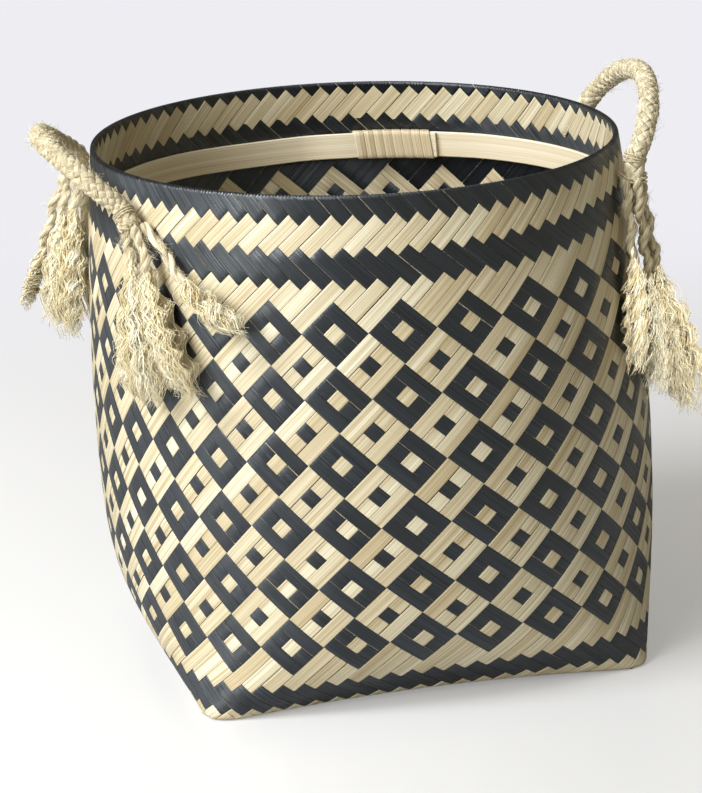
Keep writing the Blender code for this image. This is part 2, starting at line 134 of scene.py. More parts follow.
def outline_table():
    """Plan points of the wall's outside on a grid of height shares by turn shares: a superellipse, nearly
    square at the foot and round at the rim, spaced evenly by length, its length equal to the girth."""
    share = np.linspace(0, 1, TABLE_ROWS + 1)[:, None]
    angle = CORNER + np.linspace(0, 2 * math.pi, TABLE_STEPS + 1)[None, :]
    fade = np.exp(-((share / ROUNDING_SHARE) ** ROUNDING_POWER))
    rim = fade[-1, 0]
    square = (fade - rim) / (1 - rim)
    power = 1 / (1 / ROUND_POWER + (1 / CORNER_POWER - 1 / ROUND_POWER) * square)
    radius = (np.abs(np.cos(angle)) ** power + np.abs(np.sin(angle)) ** power) ** (-1 / power)
    x, y = radius * np.cos(angle), radius * np.sin(angle)
    steps = np.hypot(np.diff(x), np.diff(y))
    run = np.concatenate([np.zeros_like(share), np.cumsum(steps, axis=1)], axis=1)
    scale = girth(share) / run[:, -1:]
    even = np.linspace(0, 1, TABLE_STEPS + 1)
    rows = [[np.interp(even, r / r[-1], line) for line in lines] for r, *lines in zip(run, x, y)]
    return np.moveaxis(np.array(rows), 1, 2) * scale[:, :, None]


OUTLINE = outline_table()


def plan_at(turn, share):
    """Plan points read from the table at turn shares and height shares, evenly between its entries."""
    row = np.clip(share, 0.0, 1.0) * TABLE_ROWS
    low = np.minimum(row.astype(int), TABLE_ROWS - 1)
    part = (row - low)[..., None]
    column = (turn % 1.0) * TABLE_STEPS
    left = np.minimum(column.astype(int), TABLE_STEPS - 1)
    side = (column - left)[..., None]
    lower = OUTLINE[low, left] * (1 - side) + OUTLINE[low, left + 1] * side
    upper = OUTLINE[low + 1, left] * (1 - side) + OUTLINE[low + 1, left + 1] * side
    return lower * (1 - part) + upper * part


def foot_arch(side):
    """Arch along one side of the base, from -1 to 1: a parabola between the two feet, and nought on
    them."""
    return np.maximum(0.0, 1 - (side / (1 - FOOT_SHARE)) ** 2)


def wall(turn, share, outward=0.0):
    """Points beside the wall's outside at turn shares and height shares, a distance outward from it: the
    plan's point moved along its normal, lifted by the foot's arch and by the tilt of the rim, and
    leaning."""
    turn, share, outward = np.broadcast_arrays(np.asarray(turn, float), share, outward)
    step = 1 / TABLE_STEPS
    tangent = unit(plan_at(turn + step, share) - plan_at(turn - step, share))
    normal = np.stack([tangent[..., 1], -tangent[..., 0]], axis=-1)
    plan = plan_at(turn, share) + normal * outward[..., None]
    around = np.arctan2(plan[..., 1], plan[..., 0])
    lift = ARCH * foot_arch((turn * 4) % 1.0 * 2 - 1) * np.exp(-((share / ARCH_FADE_SHARE) ** 2))
    height = HEIGHT * share + lift + share * (RIM_TILT[0] * np.cos(around) + RIM_TILT[1] * np.sin(around))
    x = CENTRE[0] + plan[..., 0] + LEAN[0] * share
    y = CENTRE[1] + plan[..., 1] + LEAN[1] * share
    return np.stack([x, y, height], -1)


def share_at(turn, height):
    """Share of the wall's height that lies at a level height, on its round upper part."""
    angle = CORNER + 2 * math.pi * np.asarray(turn)
    return height / (HEIGHT + RIM_TILT[0] * np.cos(angle) + RIM_TILT[1] * np.sin(angle))


# Meshes
def loft(name, grid, uv, tone, finish, keep=None, crisp=False):
    """One smooth mesh from a grid of pieces by lengthwise samples by points round a section that turns
    right-handed about the length. Faces join neighbouring samples where both are kept, and flat caps close
    the ends. A crisp mesh keeps its lengthwise edges sharp, so that flat faces look flat."""
    count, length, around = grid.shape[:3]
    keep = np.ones((count, length), bool) if keep is None else keep
    number = np.arange(count * length * around).reshape(count, length, around)
    a, b = number[:, :-1], number[:, 1:]
    quads = np.stack([a, np.roll(a, -1, axis=2), np.roll(b, -1, axis=2), b], -1)
    faces = [quads[keep[:, :-1] & keep[:, 1:]].reshape(-1, 4)]
    sides = len(faces[0])
    each = np.arange(count)
    head = number[each, np.argmax(keep, axis=1)]
    tail = number[each, length - 1 - np.argmax(keep[:, ::-1], axis=1)]
    for k in range(around // 2 - 1):
        faces.append(tail[:, [k, k + 1, around - 2 - k, around - 1 - k]])
        faces.append(head[:, [around - 1 - k, around - 2 - k, k + 1, k]])
    faces = np.concatenate(faces)
    used, faces = np.unique(faces.ravel(), return_inverse=True)
    mesh = bpy.data.meshes.new(name)
    mesh.vertices.add(len(used))
    mesh.vertices.foreach_set("co", grid.reshape(-1, 3)[used].astype(np.float32).ravel())
    mesh.loops.add(faces.size)
    mesh.loops.foreach_set("vertex_index", faces.astype(np.int32).ravel())
    mesh.polygons.add(faces.size // 4)
    mesh.polygons.foreach_set("loop_start", np.arange(0, faces.size, 4, dtype=np.int32))
    mesh.update(calc_edges=True)
    mesh.polygons.foreach_set("use_smooth", np.arange(len(mesh.polygons)) < sides)
    if crisp:
        ends = np.empty(len(mesh.edges) * 2, np.int32)
        mesh.edges.foreach_get("vertices", ends)
        lane = used[ends.reshape(-1, 2)] % around
        sharp = mesh.attributes.new("sharp_edge", "BOOLEAN", "EDGE")
        sharp.data.foreach_set("value", lane[:, 0] == lane[:, 1])
    layer = mesh.uv_layers.new(name="UVMap")
    layer.data.foreach_set("uv", uv.reshape(-1, 2)[used][faces.ravel()].astype(np.float32).ravel())
    tones = np.broadcast_to(tone.reshape(count, -1, 1), (count, length, around)).reshape(-1)[used]
    mesh.attributes.new("tone", "FLOAT", "POINT").data.foreach_set("value", tones.astype(np.float32))
    obj = bpy.data.objects.new(name, mesh)
    obj.data.materials.append(finish)
    bpy.context.scene.collection.objects.link(obj)
    return obj


def run_of(points):
    """Length along each line of points, from its start."""
    step = np.linalg.norm(np.diff(points, axis=-2), axis=-1)
    return np.concatenate([np.zeros_like(step[..., :1]), np.cumsum(step, axis=-1)], axis=-1)


def tubes(name, centre, radius, reference, sides, tone, finish, flat=1.0):
    """Tubes along lines of points: at each point a ring square to the line, its radius shrunk by the flat
    factor towards the reference direction."""
    centre = np.asarray(centre)
    tangent = unit(np.gradient(centre, axis=1))
    side = unit(np.cross(tangent, np.broadcast_to(reference, centre.shape)))
    out = np.cross(side, tangent)
    angle = np.arange(sides) * 2 * math.pi / sides
    radius = np.broadcast_to(radius, centre.shape[:2])[..., None, None]
    around = flat * np.cos(angle)[:, None] * out[:, :, None] + np.sin(angle)[:, None] * side[:, :, None]
    grid = centre[:, :, None] + radius * around
    along = np.broadcast_to(run_of(centre)[:, :, None], grid.shape[:3])
    across = angle * radius[..., 0]
    return loft(name, grid, np.stack([along, np.broadcast_to(across, grid.shape[:3])], -1), tone, finish)


# Materials
def fibre_group():
    """Node group: fine and broad fibre values from noise drawn out along a piece's own UV map, shifted by
    its tone, for bamboo and jute. Along and Across are cells of noise in a metre."""
    group = bpy.data.node_groups.new("fibres", "ShaderNodeTree")
    group.interface.new_socket("Along", in_out="INPUT", socket_type="NodeSocketFloat")
    group.interface.new_socket("Across", in_out="INPUT", socket_type="NodeSocketFloat")
    group.interface.new_socket("Fine", in_out="OUTPUT", socket_type="NodeSocketFloat")
    group.interface.new_socket("Broad", in_out="OUTPUT", socket_type="NodeSocketFloat")
    group.interface.new_socket("Tone", in_out="OUTPUT", socket_type="NodeSocketFloat")
    node = group.nodes.new
    link = group.links.new
    entry, leave = node("NodeGroupInput"), node("NodeGroupOutput")
    place, split = node("ShaderNodeUVMap"), node("ShaderNodeSeparateXYZ")
    tone = node("ShaderNodeAttribute")
    tone.attribute_name = "tone"
    link(place.outputs["UV"], split.inputs[0])
    for name, finer, detail in (("Fine", 1.0, 4.0), ("Broad", 0.22, 2.0)):
        join, noise = node("ShaderNodeCombineXYZ"), node("ShaderNodeTexNoise")
        for axis, socket in ((0, "Along"), (1, "Across")):
            scale, times = node("ShaderNodeMath"), node("ShaderNodeMath")
            scale.operation = times.operation = "MULTIPLY"
            scale.inputs[1].default_value = finer
            link(entry.outputs[socket], scale.inputs[0])
            link(scale.outputs[0], times.inputs[0])
            link(split.outputs[axis], times.inputs[1])
            link(times.outputs[0], join.inputs[axis])
        shift = node("ShaderNodeMath")
        shift.operation = "MULTIPLY"
        shift.inputs[1].default_value = 61.0
        link(tone.outputs["Fac"], shift.inputs[0])
        link(shift.outputs[0], join.inputs[2])
        noise.inputs["Scale"].default_value = 1.0
        noise.inputs["Detail"].default_value = detail
        link(join.outputs[0], noise.inputs["Vector"])
        link(noise.outputs["Fac"], leave.inputs[name])
    link(tone.outputs["Fac"], leave.inputs["Tone"])
    return group


FIBRES = fibre_group()


def fibrous(name, dark, light, cast, cells, roughness, bump, contrast=(0.35, 0.65), spread=0.1):
    """A fibrous finish: a colour from dark to light with the fibres, over the contrast's stretch of their
    values, times a cast that fades to white with the piece's tone. Cells are those of the fibres along and
    across a metre, and the roughness falls by twice the spread from the dark fibres to the light ones."""
    made = bpy.data.materials.new(name)
    made.use_nodes = True
    tree = made.node_tree
    node, link = tree.nodes.new, tree.links.new
    shader = tree.nodes["Principled BSDF"]
    fibres = node("ShaderNodeGroup")
    fibres.node_tree = FIBRES
    fibres.inputs["Along"].default_value, fibres.inputs["Across"].default_value = cells
    ramp = node("ShaderNodeValToRGB")
    ramp.color_ramp.elements[0].position, ramp.color_ramp.elements[1].position = contrast
    ramp.color_ramp.elements[0].color = (*dark, 1.0)
    ramp.color_ramp.elements[1].color = (*light, 1.0)
    blend, shade = node("ShaderNodeMath"), node("ShaderNodeValToRGB")
    blend.operation = "MULTIPLY_ADD"
    blend.inputs[1].default_value = 0.6
    link(fibres.outputs["Fine"], blend.inputs[0])
    broad = node("ShaderNodeMath")
    broad.operation = "MULTIPLY"
    broad.inputs[1].default_value = 0.4
    link(fibres.outputs["Broad"], broad.inputs[0])
    link(broad.outputs[0], blend.inputs[2])
    link(blend.outputs[0], ramp.inputs["Fac"])
    shade.color_ramp.elements[0].color = (*cast, 1.0)
    link(fibres.outputs["Tone"], shade.inputs["Fac"])
    scale = node("ShaderNodeVectorMath")
    scale.operation = "MULTIPLY"
    link(ramp.outputs["Color"], scale.inputs[0])
    link(shade.outputs["Color"], scale.inputs[1])
    link(scale.outputs["Vector"], shader.inputs["Base Color"])
    rough = node("ShaderNodeMapRange")
    rough.inputs["To Min"].default_value = roughness + spread
    rough.inputs["To Max"].default_value = roughness - spread
    link(fibres.outputs["Fine"], rough.inputs["Value"])
    link(rough.outputs[0], shader.inputs["Roughness"])
    relief = node("ShaderNodeBump")
    relief.inputs["Strength"].default_value = bump
    relief.inputs["Distance"].default_value = 0.0003
    link(fibres.outputs["Fine"], relief.inputs["Height"])
    link(relief.outputs["Normal"], shader.inputs["Normal"])
    return made


def sheen(finish, amount, gloss, color):
    """Draws the shine of a fibrous finish out across its fibres, as a bundle of fine fibres does."""
    tree = finish.node_tree
    shader = tree.nodes["Principled BSDF"]
    lay = tree.nodes.new("ShaderNodeTangent")
    lay.direction_type = "UV_MAP"
    lay.uv_map = "UVMap"
    tree.links.new(lay.outputs["Tangent"], shader.inputs["Tangent"])
    shader.inputs["Anisotropic"].default_value = amount
    shader.inputs["Anisotropic Rotation"].default_value = 0.25
    shader.inputs["Specular IOR Level"].default_value = gloss
    shader.inputs["Specular Tint"].default_value = (*color, 1.0)


NATURAL = fibrous(
    "natural_strips",
    dark=(0.44, 0.35, 0.18),
    light=(0.85, 0.81, 0.63),
    cast=(0.80, 0.73, 0.63),
    cells=(7.0, 1500.0),
    roughness=0.42,
    bump=0.35,
)
DARK = fibrous(
    "dark_strips",
    dark=(0.002, 0.002, 0.003),
    light=(0.017, 0.021, 0.029),
    cast=(0.5, 0.5, 0.5),
    cells=(5.0, 1000.0),
    roughness=0.40,
    bump=0.9,
    spread=0.45,
)
sheen(DARK, 0.85, 0.95, (0.87, 0.95, 1.0))
STRIP = fibrous(
    "hoop_strip",
    dark=(0.70, 0.57, 0.36),
    light=(0.93, 0.86, 0.68),
    cast=(0.9, 0.9, 0.9),
    cells=(5.0, 1300.0),
    roughness=0.38,
    bump=0.2,
)
CANE = fibrous(
    "cane",
    dark=(0.52, 0.40, 0.22),
    light=(0.86, 0.77, 0.56),
    cast=(0.8, 0.8, 0.8),
    cells=(9.0, 1600.0),
    roughness=0.40,
    bump=0.3,
)
JUTE = fibrous(
    "jute",
    dark=(0.28, 0.19, 0.08),
    light=(0.92, 0.85, 0.62),
    cast=(0.65, 0.63, 0.58),
    cells=(90.0, 1500.0),
    roughness=0.85,
    bump=0.9,
    contrast=(0.34, 0.58),
)
FLUFF = fibrous(
    "jute_fibres",
    dark=(0.60, 0.48, 0.25),
    light=(1.0, 1.0, 0.86),
    cast=(0.86, 0.78, 0.60),
    cells=(90.0, 900.0),
    roughness=0.8,
    bump=0.3,
    contrast=(0.38, 0.56),
)
TWINE = fibrous(
    "twine",
    dark=(0.36, 0.27, 0.13),
    light=(0.85, 0.77, 0.56),
    cast=(0.8, 0.8, 0.8),
    cells=(120.0, 1600.0),
    roughness=0.8,
    bump=0.8,
)

# The plait
AROUND = 84
SIDE = 21
RIM_ROW = 52
LAST_ROW = 58.0
UP = RIM_ROW / 2
UNIT = HEIGHT / UP
BASE_UNIT = float(girth(0.0)) / AROUND
SHEET = 0.75 * MM
FOOT_ROUND = 3.0 * MM
FOLD_ROUND = 1.1 * MM
LINING_IN = 3.25 * MM
RIM_CREEP = 0.22
LEVEL = 0.42 * MM
THICK = 0.50 * MM
WIDTH_SHARES = {1: 0.962, -1: 0.972}
WIDTH_SPREAD_SHARE = 0.026
STEP_SHARE = 0.32

# The plait's drift, in pitches. Each wave is an even part all round and, on the side that is seen, a mean
# and the parts that go with the cosine and the sine of the angle
SEEN_FROM = math.radians(-100.0)
SEEN_TO, HELD_AT, HIDDEN_FROM = math.radians(85.0), math.radians(88.0), math.radians(142.0)
TWIST_AT_FOOT, TWIST_TO_RIM = -0.590, -0.119
BOW_ROUND = (-0.73, 2.952, 0.701, 2.405)
BOW_UP = (0.20, 0.356, 0.298, 0.990)
DOUBLE_UP = (-0.50, -1.887, -0.254, -1.544)
SINK, SINK_PLACE, SINK_REACH = 0.45, (8.5, 1.5), (7.5, 3.6)


def drift(u, v):
    """How far the plait lies from an even lattice, round and up the wall, as measured on the photograph: an
    even twist, bows that are largest half way up, a double bow up the wall, and rows that have sunk at the
    front of the foot. The bows vary with the angle where they are seen and fade to even values round the
    back."""
    t = np.clip(v / UP, 0.0, 1.0)
    from_front = (CORNER + 2 * math.pi * u / AROUND - SEEN_FROM + math.pi) % (2 * math.pi) - math.pi
    share = np.clip((HIDDEN_FROM - np.abs(from_front)) / (HIDDEN_FROM - SEEN_TO), 0.0, 1.0)
    near = (share + smooth(share)) / 2
    angle = np.clip(from_front, -HELD_AT, HELD_AT) + SEEN_FROM
    c, s = np.cos(angle), np.sin(angle)

    def wave(even, mean, cosine, sine):
        return even + near * (mean + cosine * c + sine * s)

    bow = 4 * t * (1 - t)
    round_by = TWIST_AT_FOOT * smooth((v + 3) / 3) + TWIST_TO_RIM * t + bow * wave(*BOW_ROUND)
    up_by = np.where((v > 0) & (v < UP), bow * (wave(*BOW_UP) + wave(*DOUBLE_UP) * (1 - 2 * t)), 0.0)
    from_middle = (u - SINK_PLACE[0] + AROUND / 2) % AROUND - AROUND / 2
    fall = (from_middle / SINK_REACH[0]) ** 4 + ((v - SINK_PLACE[1]) / SINK_REACH[1]) ** 2
    return round_by, up_by - SINK * np.exp(-fall)


def base_points(x, y, quarter):
    """Points of the base at lattice distances along one side and inward from it: a square drawn in a little
    at its corners, flat at its feet, arched along its sides and domed between them."""
    half = OUTLINE[0, :, 0].max()
    a, b = -1 + 2 * x / SIDE, -1 + 2 * y / SIDE
    turn = quarter * math.pi / 2
    a, b = a * np.cos(turn) - b * np.sin(turn), a * np.sin(turn) + b * np.cos(turn)
    reach = np.maximum(np.abs(a), np.abs(b))
    norm = (np.abs(a) ** CORNER_POWER + np.abs(b) ** CORNER_POWER) ** (1 / CORNER_POWER)
    shrunk = half * reach / np.maximum(norm, 1e-9)
    arch_a, arch_b = foot_arch(a), foot_arch(b)
    lift = ARCH * (arch_a + arch_b - arch_a * arch_b) + DOME * arch_a * arch_b + SHEET
    return np.stack([CENTRE[0] + a * shrunk, CENTRE[1] + b * shrunk, lift], -1)


def sheet_points(u, v, quarter):
    """Points of the plait's middle surface at lattice places: the base for v below nought, then a rounded
    foot, the wall up to v = 26, a small half round over the rim, and the lining inside the wall after
    it."""
    du, dv = drift(u, v)
    turn = (u + du) / AROUND
    v = v + dv + RIM_CREEP * smooth((v - UP + 1.4) / 1.2)
    foot = FOOT_ROUND * math.pi / 4 / UNIT
    fold = FOLD_ROUND * math.pi / 2 / UNIT
    up = (v - foot) / (UP - fold - foot)
    low, high = SHEET + FOOT_ROUND, HEIGHT - FOLD_ROUND
    bend = np.clip((v + foot) / (2 * foot), 0.0, 1.0) * math.pi / 2
    over = np.clip((v - UP + fold) / (2 * fold), 0.0, 1.0) * math.pi
    middle = (SHEET + LINING_IN) / 2
    reach = (LINING_IN - SHEET) / 2
    at_foot = v < foot
    height = np.where(at_foot, SHEET + FOOT_ROUND * (1 - np.cos(bend)), low + up * (high - low))
    turned_down = high + FOLD_ROUND * np.sin(over) - np.maximum(v - UP - fold, 0.0) * UNIT
    height = np.where(over > 0, turned_down, height)
    outward = np.where(at_foot, -SHEET - FOOT_ROUND * (1 - np.sin(bend)), -SHEET)
    outward = np.where(over > 0, -middle + reach * np.cos(over), outward)
    points = wall(turn, height / HEIGHT, outward)
    inside = v < -foot
    x = u + du - SIDE * quarter
    edge = (FOOT_ROUND + SHEET) / BASE_UNIT
    y = edge + np.maximum(-v - foot, 0.0)
    base = base_points(x, y, quarter)
    off = wall(turn, SHEET / HEIGHT, -SHEET - FOOT_ROUND) - base_points(x, edge + 0 * y, quarter)
    base = base + off * np.exp(-(y - edge) / 1.5)[..., None]
    return np.where(inside[..., None], base, points)


def natural_above(i, j):
    """Whether the natural strip i lies outside the dark strip j where they cross: bands of rows low down
    and at the rim, and between them blocks of three by three whose middle crossing is turned over."""
    row = j - i
    a, b = np.round(i / 3).astype(int), np.round(j / 3).astype(int)
    centre = (i == 3 * a) & (j == 3 * b)
    block = ((b - a) % 2 == 0) ^ centre
    under_base = np.floor((row + 1) / 3) % 2 == 1
    tops = (-2, 1, 4, 6, 41, 43, 46, 49, RIM_ROW, 55)
    kinds = [under_base, True, False, True, block, True, False, True, False, True]
    return np.select([row <= top for top in tops], kinds, False)


# Points across a strip and through it, as shares of its width and thickness
FLAT_SECTION = ((-0.5, -0.43, 0.43, 0.5, 0.5, -0.5), (0.20, 0.5, 0.5, 0.20, -0.5, -0.5))
FINE_SECTION = (
    (-0.5, -0.43, -0.26, -0.09, 0.09, 0.26, 0.43, 0.5, 0.5, 0.17, -0.17, -0.5),
    (0.20, 0.5, 0.5, 0.5, 0.5, 0.5, 0.5, 0.20, -0.5, -0.5, -0.5, -0.5),
)


def cell_rows(first, last):
    """Rows along a strip, three to each crossing: its step and the two ends of its level part."""
    rows = (np.arange(first, last + 1)[:, None] + np.array([-0.5, -0.34, 0.34])).ravel()
    return np.unique(np.clip(rows, first, last))


def strips(lean, seed, rows, section):
    """Grid of one family of strips over a range of rows, each a ribbon that climbs at 45 degrees from the
    base, over the rim and down inside, lying outside or inside the strips it crosses. It steps smoothly
    from one level to the other between crossings, and its section is nearly flat."""
    rng = np.random.default_rng(seed)
    index = np.arange(AROUND)
    quarter = index // SIDE
    first = index % SIDE
    start = first + 0.9 * (first <= 5) if lean > 0 else SIDE - first - 0.4 * (first >= 17)
    first_row = -start.astype(float)
    row = np.clip(rows[None, :], first_row[:, None], LAST_ROW)
    cell = np.floor(row + 0.5).astype(int)

    def above(c):
        own = index[:, None]
        i, j = (own, own + c) if lean > 0 else (own - c, own)
        return np.where(natural_above(i, j) == (lean > 0), 1.0, -1.0)

    place = row - cell
    here, before, after = above(cell), above(cell - 1), above(cell + 1)
    up, down = smooth((place - 0.5) / STEP_SHARE + 0.5), smooth((-place - 0.5) / STEP_SHARE + 0.5)
    level = here + (after - here) * up + (before - here) * down
    width = WIDTH_SHARES[lean] + WIDTH_SPREAD_SHARE * rng.uniform(-1, 1, AROUND)
    wave = rng.uniform(0, 2 * math.pi, AROUND)
    sway = 0.014 * np.sin(row * 0.23 + wave[:, None])
    tuck = 0.24 * rng.uniform(-1, 1, AROUND)[:, None] * smooth((row - RIM_ROW - 0.5) / 1.5)
    across, rise = np.array(section)
    w = sway[..., None] + across * width[:, None, None]
    v0 = ((row + tuck) / 2)[..., None]
    u0 = index[:, None, None] + lean * v0
    u, v = u0 + w / 2, v0 - lean * w / 2
    q = quarter[:, None, None] + np.zeros_like(u)
    e = 0.01
    along_u = sheet_points(u + e, v, q) - sheet_points(u - e, v, q)
    along_v = sheet_points(u, v + e, q) - sheet_points(u, v - e, q)
    normal = unit(np.cross(along_u, along_v))
    lift = level[..., None] * LEVEL + rise * THICK
    point = sheet_points(u, v, q) + normal * lift[..., None]
    uv = np.stack([(row[..., None] + 0 * w) * UNIT / math.sqrt(2), w * UNIT / math.sqrt(2)], -1)
    gap = float(np.max(np.diff(rows)))
    keep = (rows[None, :] > first_row[:, None] - gap) & (rows[None, :] < LAST_ROW + gap)
    return point, uv, keep


def build_plait():
    """Both families of strips, each in five parts up the basket, with finer samples where the sheet is
    bent."""
    fold_from, fold_to = RIM_ROW - 2, RIM_ROW + 2
    ranges = {
        "base": (cell_rows(-SIDE, -1), FLAT_SECTION),
        "foot": (np.linspace(-1.0, 1.0, 17), FINE_SECTION),
        "wall": (cell_rows(1, fold_from), FLAT_SECTION),
        "rim": (np.linspace(fold_from, fold_to, 45), FINE_SECTION),
        "lining": (cell_rows(fold_to, LAST_ROW), FLAT_SECTION),
    }
    for name, lean, seed, finish, record in (
        ("natural", 1, 11, NATURAL, "plaited_bamboo"),
        ("dark", -1, 12, DARK, "dark_bamboo"),
    ):
        tone = np.random.default_rng(seed + 40).uniform(0, 1, AROUND)
        for part, (rows, section) in ranges.items():
            grid, uv, keep = strips(lean, seed, rows, section)
            own = keep.any(axis=1)
            obj = loft(f"{name}_{part}", grid[own], uv[own], tone[own], finish, keep[own], crisp=True)
            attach(obj, BASKET)
            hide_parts("woven_base", "woven_wall", "rim_lining")


build_plait()

# The inner hoop and the cane round its lap
HOOP_DROP = 34.0 * MM
HOOP_LOWER = 4.2 * MM
HOOP_WIDTH = 19.8 * MM
HOOP_THICKNESS = 3.0 * MM
LAP_TURN = (math.radians(80.0) - CORNER) / (2 * math.pi)
LAP_LENGTH = 70.0 * MM
LAP_RAMP = 45.0 * MM
CORD = 1.8 * MM
HOOP_GIRTH = float(girth(1 - HOOP_DROP / HEIGHT))
SAG = 2.6 * MM
SAG_TURN = (math.radians(103.0) - CORNER) / (2 * math.pi)
SAG_SHARE = 0.06
CANE_TURNS = 8
CANE_START = 2.4 * MM
CANE_LENGTH = 64.0 * MM
CANE_HALF_WIDTH = 3.68 * MM


def hoop_inset(along):
    """Distance of the hoop's outer face inside the wall's outside, a distance along it from its hidden end:
    room for the cane behind the lap's first layer, and the first layer behind the second."""
    seat = WALL + GAP + LINING + GAP
    lap_room = (CORD + GAP) * (1 - smooth((along - LAP_LENGTH) / LAP_RAMP))
    second = (CORD + 2 * GAP + HOOP_THICKNESS) * smooth((along - HOOP_GIRTH + LAP_RAMP) / LAP_RAMP)
    return seat + lap_room + second


def hoop_points(along, drop, inset):
    """Points inside the wall at distances along the hoop, down from the rim and inward. The hoop sags a
    little in one place at the back, by a bell curve."""
    turn = LAP_TURN - along / HOOP_GIRTH
    sag = SAG * np.exp(-(((turn - SAG_TURN + 0.5) % 1.0 - 0.5) / SAG_SHARE) ** 2)
    return wall(turn, 1 - (drop + HOOP_LOWER + sag) / HEIGHT, -inset)


def build_hoop():
    """The hoop: a flat section with eased edges carried round inside the wall, one end lapped over the
    other."""
    along = np.linspace(0, HOOP_GIRTH + LAP_LENGTH, 320)[None, :, None]
    ease = 0.7 * MM
    half, thick = HOOP_WIDTH / 2, HOOP_THICKNESS
    down = np.array([-half, -half, -half + ease, half - ease, half, half, half - ease, -half + ease])
    inward = np.array([thick - ease, ease, 0, 0, ease, thick - ease, thick, thick])
    inset = hoop_inset(along) + inward
    grid = hoop_points(along + 0 * inset, HOOP_DROP + half + down + 0 * inset, inset)
    uv = np.stack([along + 0 * inset, down + 0.4 * inward + 0 * inset], -1)
    obj = loft("hoop", grid, uv, np.array([0.6]), STRIP, crisp=True)
    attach(obj, BASKET)
    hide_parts("inner_hoop")


def build_cane():
    """Flat split cane wound round both layers of the hoop's lap: a thin band carried round a rounded loop
    that moves on by its own width each turn, with both ends behind the hoop."""
    turns, steps = CANE_TURNS, 40
    t = np.arange(turns * steps + 1) / steps
    angle = 2 * math.pi * t + math.pi
    half_high, half_thick = HOOP_WIDTH / 2 + 0.75 * MM, HOOP_THICKNESS + GAP / 2 + 0.85 * MM
    c, s = np.cos(angle), np.sin(angle)
    box = (np.abs(c) ** 9 + np.abs(s) ** 9) ** (-1 / 9)
    inward, down = half_thick * c * box, half_high * s * box
    middle = hoop_inset(0.0) + HOOP_THICKNESS + GAP / 2
    rng = np.random.default_rng(5)
    sway = np.interp(t, np.arange(turns + 2), rng.uniform(-0.15, 0.15, turns + 2)) * MM
    along = CANE_START + CANE_LENGTH * (t / turns) + sway
    centre = hoop_points(along, HOOP_DROP + HOOP_WIDTH / 2 + down, middle + inward)
    core = hoop_points(along, HOOP_DROP + HOOP_WIDTH / 2, middle)
    tangent = unit(np.gradient(centre, axis=0))
    side = unit(hoop_points(along + MM, HOOP_DROP + HOOP_WIDTH / 2, middle) - core)
    out = unit(np.cross(side, tangent))
    out = out * np.sign(np.sum(out * (centre - core), -1))[:, None]
    uneven = np.interp(t, np.arange(turns + 2), rng.uniform(-1, 1, turns + 2))
    half_wide = CANE_HALF_WIDTH * (1 + 0.03 * uneven)
    x = np.array([-1.0, -0.8, 0.8, 1.0, 1.0, -1.0])
    z = np.array([0.15, 0.48, 0.48, 0.15, -0.3, -0.3]) * MM
    flip = 1.0 if float(np.sum(np.cross(side, out)[0] * tangent[0])) < 0 else -1.0
    across = x * half_wide[:, None]
    grid = centre[:, None] + side[:, None] * (flip * across)[..., None] + out[:, None] * z[:, None]
    uv = np.stack([run_of(centre)[:, None] + 0 * x, across], -1)
    obj = loft("cane_wraps", grid[None], uv[None], np.array([0.7]), CANE, crisp=True)
    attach(obj, BASKET)
    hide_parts("hoop_binding")


build_hoop()
build_cane()

# The ropes
ROPE = 17.0 * MM
END = 16.0 * MM
END_TOP = ROPE / 2 + GAP
END_LENGTH = 16.0 * MM
STAND_OFF = END / 2 + GAP + 1.4 * MM + GAP
TIE = 13.5 * MM
# Each handle's middle as a share of a turn, its ties' distance from there and below the rim, its tilt and
# its rise
HANDLES = {
    "left": (0.8843, 79.0 * MM, 17.0 * MM, math.radians(49.0), 51.0 * MM),
    "right": (0.3652, -82.5 * MM, 12.0 * MM, math.radians(30.0), 52.0 * MM),
}
# How far each rope end is drawn along the wall, how high its whipping sits, and how far it leans out
WHIPPINGS = {
    "left_front": (13.5 * MM, 6.0 * MM, 0.0),
    "left_back": (3.0 * MM, 5.0 * MM, 8.0 * MM),
    "right_front": (1.5 * MM, -1.5 * MM, 1.0 * MM),
    "right_back": (1.5 * MM, 3.0 * MM, 0.0),
}


class Root:
    """Where one leg of a handle is tied: its turn share, its height and the directions out from and along
    the wall."""

    def __init__(self, middle, offset, drop):
        self.turn = middle + offset / float(girth(1 - drop / HEIGHT))
        height = float(wall(self.turn, 1.0)[2]) - drop
        low = share_at(self.turn, height - END_TOP - END_LENGTH)
        outer = wall(self.turn, low, STAND_OFF)
        self.outward = unit((outer - wall(self.turn, low)) * (1, 1, 0))
        self.along = np.array([-self.outward[1], self.outward[0], 0.0])
        self.axis = np.array([outer[0], outer[1], height])
        self.forward = math.copysign(1.0, offset)

    def place(self, outward, along, down):
        """Points given from the hinge line: outward from the wall, along it anticlockwise, and down."""
        outward, along, down = (np.asarray(v)[..., None] for v in np.broadcast_arrays(outward, along, down))
        return self.axis + self.outward * outward + self.along * along - np.array([0.0, 0.0, 1.0]) * down


ROOTS = {}
for side, (middle, offset, drop, *_) in HANDLES.items():
    ROOTS[f"{side}_front"] = Root(middle, offset, drop)
    ROOTS[f"{side}_back"] = Root(middle, -offset, drop)


def evened(points, gap):
    """The same line with points spaced evenly, about a gap apart."""
    run = run_of(points)
    even = np.linspace(0, run[-1], int(run[-1] / gap) + 1)
    return np.stack([np.interp(even, run, points[:, k]) for k in range(3)], -1)


